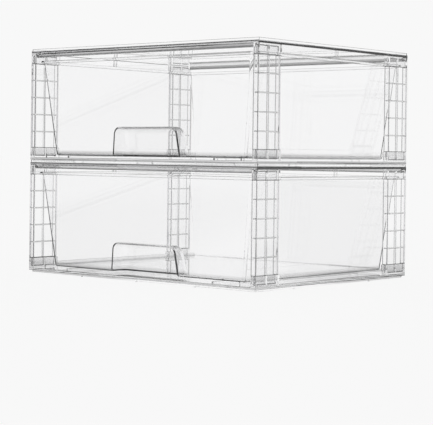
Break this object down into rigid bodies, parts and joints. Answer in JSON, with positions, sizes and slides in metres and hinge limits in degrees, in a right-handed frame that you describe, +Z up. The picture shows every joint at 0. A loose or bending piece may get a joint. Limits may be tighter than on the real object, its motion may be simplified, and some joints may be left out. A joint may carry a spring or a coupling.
{
  "type": "stackable drawer box",
  "caption": "Stacked open-sided frames in clear plastic, each holding a wide sliding drawer with tapered sides and a finger pocket low in its front.",
  "frame": {"origin": "middle of the footprint, on the surface that the feet stand on", "axes": "+X to the right across the front, +Y towards the rear, +Z up; the drawers open towards -Y"},
  "size_m": [0.351, 0.282, 0.2678],
  "materials": {
    "clear_panel": "clear moulded plastic, polished",
    "clear_post": "clear moulded plastic, polished",
    "clear_drawer": "clear moulded plastic, polished"
  },
  "bodies": {
    "lower_frame": {"lower_bottom_panel": "clear_panel", "lower_top_panel": "clear_panel", "lower_post_front_left": "clear_post", "lower_post_front_right": "clear_post", "lower_post_rear_left": "clear_post", "lower_post_rear_right": "clear_post"},
    "lower_drawer": {"lower_drawer": "clear_drawer"},
    "upper_frame": {"upper_bottom_panel": "clear_panel", "upper_top_panel": "clear_panel", "upper_post_front_left": "clear_post", "upper_post_front_right": "clear_post", "upper_post_rear_left": "clear_post", "upper_post_rear_right": "clear_post"},
    "upper_drawer": {"upper_drawer": "clear_drawer"}
  },
  "joints": [
    {"name": "lower_drawer_slide", "type": "slide", "parent": "lower_frame", "child": "lower_drawer", "axis": [0, -1, 0], "range_m": [0, 0.2]},
    {"name": "upper_tier_lift", "type": "slide", "parent": "lower_frame", "child": "upper_frame", "axis": [0, 0, 1], "range_m": [0, 0.05]},
    {"name": "upper_drawer_slide", "type": "slide", "parent": "upper_frame", "child": "upper_drawer", "axis": [0, -1, 0], "range_m": [0, 0.2]}
  ]
}
